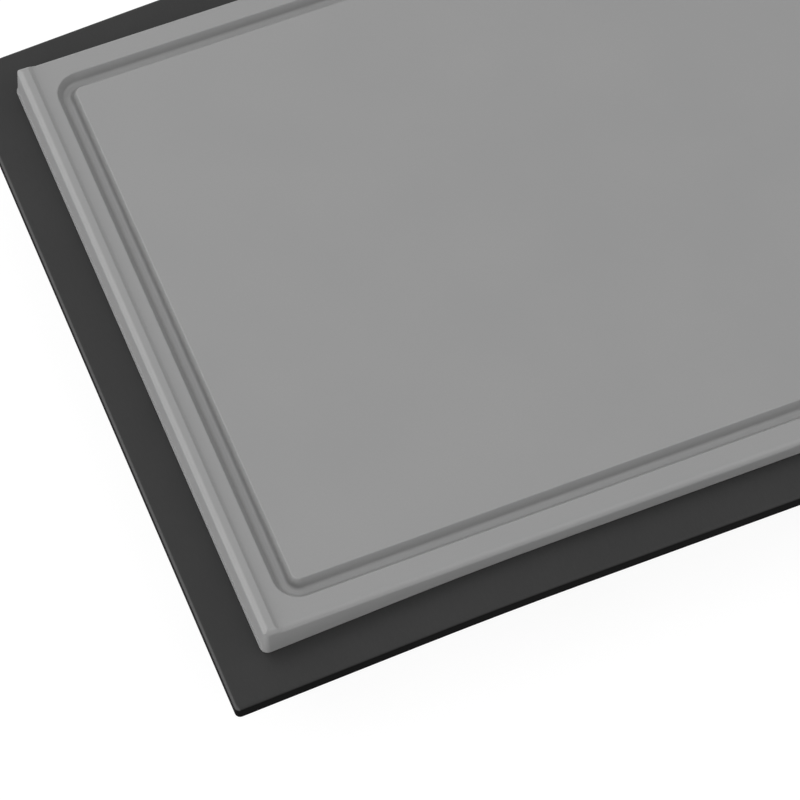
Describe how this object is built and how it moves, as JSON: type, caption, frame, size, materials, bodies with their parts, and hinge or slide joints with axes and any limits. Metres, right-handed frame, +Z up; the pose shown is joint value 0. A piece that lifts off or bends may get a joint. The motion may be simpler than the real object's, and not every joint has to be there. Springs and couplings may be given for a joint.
{
  "type": "cutting board with drawer trays",
  "caption": "Cutting board with a juice groove, lying on a wide cambered deck over a low housing whose trays slide out at the front.",
  "frame": {"origin": "on the table under the middle of the deck", "axes": "+X along the long side, -Y the way the trays open, +Z up"},
  "size_m": [0.437, 0.337, 0.0675],
  "materials": {
    "board_plastic": "fine matt grain",
    "deck_plastic": "satin",
    "housing_plastic": "matt",
    "runner_plastic": "low-friction natural plastic",
    "steel": "zinc plated",
    "rubber": "matt rubber",
    "tray_plastic": "moulded, light grain",
    "front_plastic": "satin, as the deck",
    "pull_metal": "brushed and anodised"
  },
  "bodies": {
    "housing": {"deck_plate": "deck_plastic", "base_panel": "housing_plastic", "side_panel_left": "housing_plastic", "side_panel_right": "housing_plastic", "back_panel": "housing_plastic", "partition_left": "housing_plastic", "partition_right": "housing_plastic", "tray_left_runner_left": "runner_plastic", "tray_left_runner_right": "runner_plastic", "tray_middle_runner_left": "runner_plastic", "tray_middle_runner_right": "runner_plastic", "tray_right_runner_left": "runner_plastic", "tray_right_runner_right": "runner_plastic", "tie_screws": "steel", "foot_screws": "steel", "runner_screws": "steel", "runner_stop_pins": "steel", "board_studs": "rubber", "tray_bumpers": "rubber", "foot_front_left": "rubber", "foot_front_right": "rubber", "foot_back_left": "rubber", "foot_back_right": "rubber"},
    "board": {"cutting_board": "board_plastic"},
    "tray_left": {"tray_left": "tray_plastic", "tray_front_left": "front_plastic", "tray_pull_left": "pull_metal", "pull_screws_left": "steel"},
    "tray_middle": {"tray_middle": "tray_plastic", "tray_front_middle": "front_plastic", "tray_pull_middle": "pull_metal", "pull_screws_middle": "steel"},
    "tray_right": {"tray_right": "tray_plastic", "tray_front_right": "front_plastic", "tray_pull_right": "pull_metal", "pull_screws_right": "steel"}
  },
  "joints": [
    {"name": "board_lift", "type": "slide", "parent": "housing", "child": "board", "axis": [0, 0, 1], "range_m": [0, 0.06]},
    {"name": "tray_left_slide", "type": "slide", "parent": "housing", "child": "tray_left", "axis": [0, -1, 0], "range_m": [0, 0.2]},
    {"name": "tray_middle_slide", "type": "slide", "parent": "housing", "child": "tray_middle", "axis": [0, -1, 0], "range_m": [0, 0.2]},
    {"name": "tray_right_slide", "type": "slide", "parent": "housing", "child": "tray_right", "axis": [0, -1, 0], "range_m": [0, 0.2]}
  ]
}
